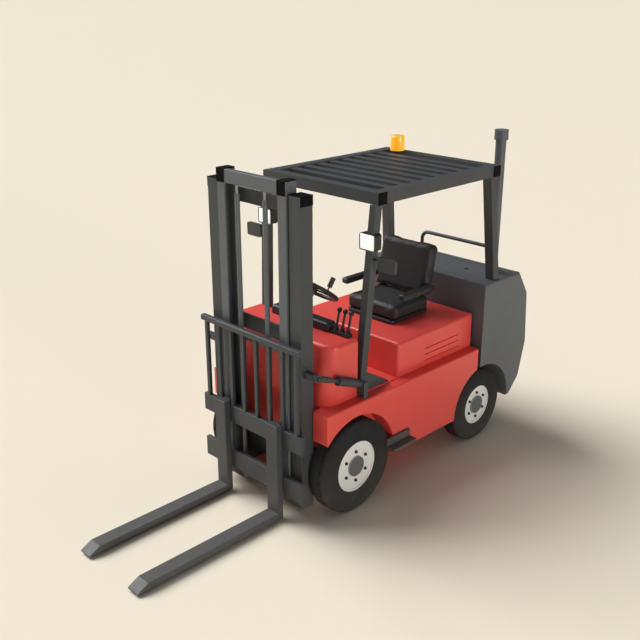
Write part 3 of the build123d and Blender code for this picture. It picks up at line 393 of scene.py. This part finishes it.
# %% [markdown]
# ## Wheel nuts and hub caps
# The rims carry six nuts on a circle round a dark hub cap. Nuts are six-sided stubs on washers, joined into
# one mesh per wheel so that the whole set turns with its wheel.

# %% Nuts and hub caps
NUT_COUNT = 6
NUT_RADIUS = 0.0095
NUT_HEIGHT = 0.009
WASHER_RADIUS = 0.0115
WASHER_HEIGHT = 0.003
NUT_CIRCLE = {"front": 0.105, "rear": 0.098}
HUB_RADIUS = 0.071
DISC_RECESS = 0.014
HUB_HEIGHT = 0.011


def wheel_trim(end, flank, side):
    """Add the nuts and the hub cap of one wheel."""
    low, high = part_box(f"tyre_{end}_{flank}")
    centre = (low + high) / 2
    half = (high.x - low.x) / 2
    out = Vector((side, 0, 0))
    face = centre + out * (half - DISC_RECESS)
    body = f"{end}_wheel_{flank}"
    nuts = bmesh.new()
    for turn in range(NUT_COUNT):
        angle = math.tau * (turn + 0.5) / NUT_COUNT
        place = face + Vector((0, math.cos(angle), math.sin(angle))) * NUT_CIRCLE[end]
        disc(nuts, place, out, WASHER_RADIUS, WASHER_RADIUS, WASHER_HEIGHT, 20)
        disc(nuts, place + out * WASHER_HEIGHT, out, NUT_RADIUS, NUT_RADIUS * 0.92, NUT_HEIGHT, 6)
    keep(nuts, f"wheel_nuts_{end}_{flank}", body, "black_plastic")
    cap = bmesh.new()
    disc(cap, face, out, HUB_RADIUS, HUB_RADIUS * 0.97, HUB_HEIGHT, 48)
    keep(cap, f"hub_cap_{end}_{flank}", body, "casting")


for end in ("front", "rear"):
    for side, flank in SIDES:
        wheel_trim(end, flank, side)
print("wheel trim: 4 sets of", NUT_COUNT, "nuts")

# %% [markdown]
# ## Head lamps
# A square lamp is a dark housing that grips its pillar, with a pale lens set into the front. The housing is a
# copy of the CAD solid whose front face is inset and pushed back to leave a lip. The lens is a rounded block
# that fills the lip.

# %% Lamp shells and lenses
LAMP_LIP = 0.006
LAMP_SINK = 0.005
LENS_DEPTH = 0.010
LENS_ROUND = 0.0045


def rounded_box(shape, low, high, edge, segments=4):
    """Add a box between two corners with all its edges rounded."""
    middle = (low + high) / 2
    size = high - low
    place = Matrix.Translation(middle) @ Matrix.Diagonal((*size, 1))
    made = bmesh.ops.create_cube(shape, size=1.0, matrix=place)
    edges = list({e for v in made["verts"] for e in v.link_edges})
    bevel_edges(shape, edges, edge, segments)


shells = bmesh.new()
shells.from_mesh(nodes["head_lamps"].data)
bmesh.ops.remove_doubles(shells, verts=shells.verts, dist=0.0001)
bmesh.ops.dissolve_limit(shells, angle_limit=math.radians(0.5), verts=shells.verts, edges=shells.edges)
fronts = [f for f in shells.faces if f.normal.y < -0.99 and f.calc_area() > 0.008]
bmesh.ops.inset_individual(shells, faces=fronts, thickness=LAMP_LIP, depth=-LAMP_SINK)
glass = bmesh.new()
for side, flank in SIDES:
    low, high = side_box("head_lamps", side)
    lip = Vector((LAMP_LIP, 0, LAMP_LIP))
    rounded_box(glass, low + lip, Vector((high.x, low.y + LENS_DEPTH, high.z)) - lip, LENS_ROUND)
lamp_shells = keep(shells, "lamp_shells", "truck", "black_plastic")
lamp_lenses = keep(glass, "lamp_lenses", "truck", "lamp_glass")
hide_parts("head_lamps")
print("lamps:", lamp_shells.name, lamp_lenses.name)

# %% [markdown]
# ## Mirrors
# The CAD mirrors are rounded shells on a stem. Their glass faces backwards to the driver, so a thin silvered
# plate is laid on the rear face of each.

# %% Mirror glass
MIRROR_WIDTH = 0.140
MIRROR_RIM = 0.010
PANE_SUNK = 0.002
PANE_PROUD = 0.0015
PANE_ROUND = 0.0014
panes = bmesh.new()
for side, flank in SIDES:
    low, high = side_box("mirrors", side)
    outer = high.x if side > 0 else low.x
    inner = outer - side * MIRROR_WIDTH
    rim = Vector((MIRROR_RIM, 0, MIRROR_RIM))
    pane_low = Vector((min(outer, inner), high.y - PANE_SUNK, low.z)) + rim
    pane_high = Vector((max(outer, inner), high.y + PANE_PROUD, high.z)) - rim
    rounded_box(panes, pane_low, pane_high, PANE_ROUND, 2)
mirror_glass = keep(panes, "mirror_glass", "truck", "rod_steel")
mirror_glass.data.materials[0] = mirror_silver
print("mirrors:", mirror_glass.name)

# %% [markdown]
# ## Beacon
# The beacon is a plain amber cylinder with a softly rounded top on a dark ring. Both are short cones, and the
# rim of the amber one is rounded.

# %% Beacon lens and ring
BEACON_RING = 0.007
BEACON_ROUND = 0.012
low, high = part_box("beacon")
centre = (low + high) / 2
radius = (high.x - low.x) / 2
up = Vector((0, 0, 1))
amber = bmesh.new()
disc(amber, Vector((centre.x, centre.y, low.z + BEACON_RING)), up, radius * 0.95, radius * 0.92,
     high.z - low.z - BEACON_RING, 64)
top_rim = [e for e in amber.edges if all(v.co.z > high.z - 0.001 for v in e.verts)]
bevel_edges(amber, top_rim, BEACON_ROUND, 5)
beacon_lens = keep(amber, "beacon_amber", "truck", "beacon_lens", 50)
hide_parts("beacon")
ring = bmesh.new()
disc(ring, Vector((centre.x, centre.y, low.z)), up, radius, radius * 0.97, BEACON_RING, 64)
keep(ring, "beacon_ring", "truck", "black_plastic")
print("beacon radius", round(radius, 3))

# %% [markdown]
# ## The stuffed seat
# Cushion and back are foam under vinyl, so they are crowned and pull in at the corners. A block with round
# edges would look hard. Each pad starts as a slightly smaller copy of its CAD solid, is remeshed evenly, and
# is blown up by a short cloth simulation with its own pressure. How far a point may move is capped, which
# keeps the pad in the space that the CAD solid holds, and a light smoothing then calms the creases.

# %% Seat pads by cloth simulation
PAD_VOXEL = 0.006
PAD_FRAMES = 20
PAD_PRESSURE = 4.0
PAD_RELAX = 8
PAD_SHRINK = 0.007
PAD_CAP = 0.012


def evaluated(piece):
    """Return a new mesh with a piece's modifiers applied."""
    graph = bpy.context.evaluated_depsgraph_get()
    return bpy.data.meshes.new_from_object(piece.evaluated_get(graph))


def stuffed(node, name, body):
    """Make a padded piece in the space of a CAD node."""
    shape = bmesh.new()
    shape.from_mesh(nodes[node].data)
    bmesh.ops.remove_doubles(shape, verts=shape.verts, dist=0.0001)
    low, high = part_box(node)
    centre = (low + high) / 2
    size = high - low
    ratio = Vector((s - 2 * PAD_SHRINK) / s for s in size)
    bmesh.ops.scale(shape, vec=ratio, space=Matrix.Translation(-centre), verts=shape.verts)
    piece = keep(shape, name, body, "seat_cover", 180)
    even = piece.modifiers.new("even", "REMESH")
    even.mode = "VOXEL"
    even.voxel_size = PAD_VOXEL
    mesh = evaluated(piece)
    piece.modifiers.clear()
    piece.data = mesh
    rest = [v.co.copy() for v in mesh.vertices]
    cloth = piece.modifiers.new("stuffing", "CLOTH")
    cloth.settings.use_pressure = True
    cloth.settings.uniform_pressure_force = PAD_PRESSURE
    cloth.settings.effector_weights.gravity = 0.0
    scene = bpy.context.scene
    for step in range(1, PAD_FRAMES + 1):
        scene.frame_set(step)
    swollen = evaluated(piece)
    piece.modifiers.clear()
    for vertex, start in zip(swollen.vertices, rest):
        move = vertex.co - start
        if move.length > PAD_CAP:
            vertex.co = start + move.normalized() * PAD_CAP
    piece.data = swollen
    scene.frame_set(1)
    piece.data.shade_smooth()
    relax = piece.modifiers.new("relax", "SMOOTH")
    relax.factor = 0.5
    relax.iterations = PAD_RELAX
    finer = piece.modifiers.new("finer", "SUBSURF")
    finer.levels = finer.render_levels = 1
    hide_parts(node)
    return piece


seat_cushion = stuffed("seat_cushion", "cushion_pad", "hood")
seat_back = stuffed("seat_back", "back_pad", "hood")
print("seat pads:", len(seat_cushion.data.vertices), len(seat_back.data.vertices), "points")

# %% [markdown]
# ## Lever boots and the horn button
# Hand levers come out of folded rubber boots, and the middle of a steering wheel holds a button. A boot is a
# stack of rings that gets smaller towards its top. The button sits on the hub, and the record's own joint
# says where the hub is and which way it points.

# %% Boots and button
BOOT_RINGS = 4
BOOT_RADIUS = 0.020
BOOT_TAPER = 0.0026
BOOT_STEP = Vector((0, 0.0022, 0.007))
BOOT_RING_HEIGHT = 0.008
LEVER_COUNT = 3
LEVER_PITCH = 0.052
BUTTON_RADIUS = 0.024
BUTTON_HEIGHT = 0.008
low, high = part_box("hand_levers")
gate_top = low.z + 0.020
first_lever = low.x + 0.0255
foot_y = low.y + 0.034
boots = bmesh.new()
for lever in range(LEVER_COUNT):
    for ring in range(BOOT_RINGS):
        wide = BOOT_RADIUS - BOOT_TAPER * ring
        place = Vector((first_lever + lever * LEVER_PITCH, foot_y, gate_top)) + BOOT_STEP * ring
        disc(boots, place, up, wide, wide * 0.72, BOOT_RING_HEIGHT, 24)
keep(boots, "lever_boots", "truck", "black_plastic")

turn = next(j for j in frame["record"]["behaviour"]["joints"] if j["name"] == "steering_turn")
hub, axle = Vector(turn["pos_m"]), Vector(turn["axis"]).normalized()
offsets = [v.co - hub for v in nodes["steering_wheel"].data.vertices]
hub_top = max(o.dot(axle) for o in offsets if (o - axle * o.dot(axle)).length < BUTTON_RADIUS * 1.5)
button = bmesh.new()
disc(button, hub + axle * (hub_top - 0.001), axle, BUTTON_RADIUS, BUTTON_RADIUS * 0.94, BUTTON_HEIGHT, 40)
crown = [e for e in button.edges if all((v.co - hub).dot(axle) > hub_top for v in e.verts)]
bevel_edges(button, crown, 0.004, 4)
keep(button, "horn_button", "steering_wheel", "black_plastic")
print("boots at x", round(first_lever, 3), "button on a hub", round(hub_top, 3), "long")

# %% [markdown]
# ## Floor, light and camera
# The truck stands on a plain cream floor that runs out of sight. A round wall far away continues the cream
# above the horizon for low views. Only the camera sees the wall, so it neither lights the truck nor shades it.
# A wide key light from the truck's right makes the shadow, a weak flat one fills the side that faces the
# camera, and the sky is brightest overhead. The camera stands where the photograph was taken from: ahead of
# the truck's left front corner and well above it.

# %% Floor and wall
FLOOR_CREAM = (0.860, 0.778, 0.640)
FLOOR_SIZE = 300.0
WALL_CREAM = (0.888, 0.807, 0.665)
WALL_RADIUS = 250.0
WALL_HEIGHT = 500.0


def stage_piece(shape, name, paint_name):
    """Make an object of the studio from a bmesh and return it with its shader."""
    mesh = bpy.data.meshes.new(name)
    shape.to_mesh(mesh)
    shape.free()
    paint = bpy.data.materials.new(paint_name)
    paint.use_nodes = True
    mesh.materials.append(paint)
    piece = bpy.data.objects.new(name, mesh)
    bpy.context.scene.collection.objects.link(piece)
    return piece, paint.node_tree.nodes["Principled BSDF"]


floor_shape = bmesh.new()
bmesh.ops.create_grid(floor_shape, x_segments=1, y_segments=1, size=FLOOR_SIZE)
floor, floor_shader = stage_piece(floor_shape, "studio_floor", "studio_cream")
floor_shader.inputs["Base Color"].default_value = (*FLOOR_CREAM, 1)
floor_shader.inputs["Roughness"].default_value = 0.9
floor_shader.inputs["Specular IOR Level"].default_value = 0.1

wall_shape = bmesh.new()
bmesh.ops.create_cone(wall_shape, cap_ends=False, segments=96, radius1=WALL_RADIUS, radius2=WALL_RADIUS,
                      depth=WALL_HEIGHT)
wall, wall_shader = stage_piece(wall_shape, "studio_wall", "wall_cream")
wall_shader.inputs["Base Color"].default_value = (0, 0, 0, 1)
wall_shader.inputs["Specular IOR Level"].default_value = 0.0
wall_shader.inputs["Emission Color"].default_value = (*WALL_CREAM, 1)
wall_shader.inputs["Emission Strength"].default_value = 1.0
wall.visible_diffuse = False
wall.visible_glossy = False
wall.visible_transmission = False
wall.visible_shadow = False
print("floor:", FLOOR_SIZE, "wall:", WALL_RADIUS)

# %% Light
scene = bpy.context.scene
scene.view_settings.view_transform = "Standard"
HORIZON = 0.04
ZENITH = 0.30
world = bpy.data.worlds.new("studio_sky")
world.use_nodes = True
sky = world.node_tree
way = sky.nodes.new("ShaderNodeTexCoord")
up_share = sky.nodes.new("ShaderNodeSeparateXYZ")
sky.links.new(way.outputs["Generated"], up_share.inputs["Vector"])
lift = math_node(sky, "MULTIPLY", math_node(sky, "MAXIMUM", up_share.outputs["Z"], 0.0), ZENITH - HORIZON)
sky.links.new(math_node(sky, "ADD", lift, HORIZON), sky.nodes["Background"].inputs["Strength"])
sky.nodes["Background"].inputs["Color"].default_value = (0.97, 0.98, 1.0, 1)
scene.world = world


def sun(name, source, strength, spread):
    """Add a sun that shines from a direction towards the truck."""
    light = bpy.data.lights.new(name, "SUN")
    light.energy = strength
    light.angle = math.radians(spread)
    lamp = bpy.data.objects.new(name, light)
    lamp.rotation_euler = (-Vector(source)).to_track_quat("-Z", "Y").to_euler()
    scene.collection.objects.link(lamp)


sun("key_light", (-0.64, -0.20, 0.72), 3.50, 46)
sun("fill_light", (0.99, -0.12, 0.035), 1.26, 12)
print("light: sky", HORIZON, "to", ZENITH)

# %% Camera
CAMERA_AT = Vector((3.997, -3.962, 3.2715))
CAMERA_AIM = Vector((-0.1025, 0.127, 1.0881))
camera_data = bpy.data.cameras.new("camera")
camera_data.lens = 50
camera_data.sensor_width = 36
camera_data.clip_end = 1000
camera = bpy.data.objects.new("camera", camera_data)
camera.location = CAMERA_AT
camera.rotation_euler = (CAMERA_AIM - CAMERA_AT).to_track_quat("-Z", "Y").to_euler()
scene.collection.objects.link(camera)
scene.camera = camera
print("camera:", tuple(CAMERA_AT))
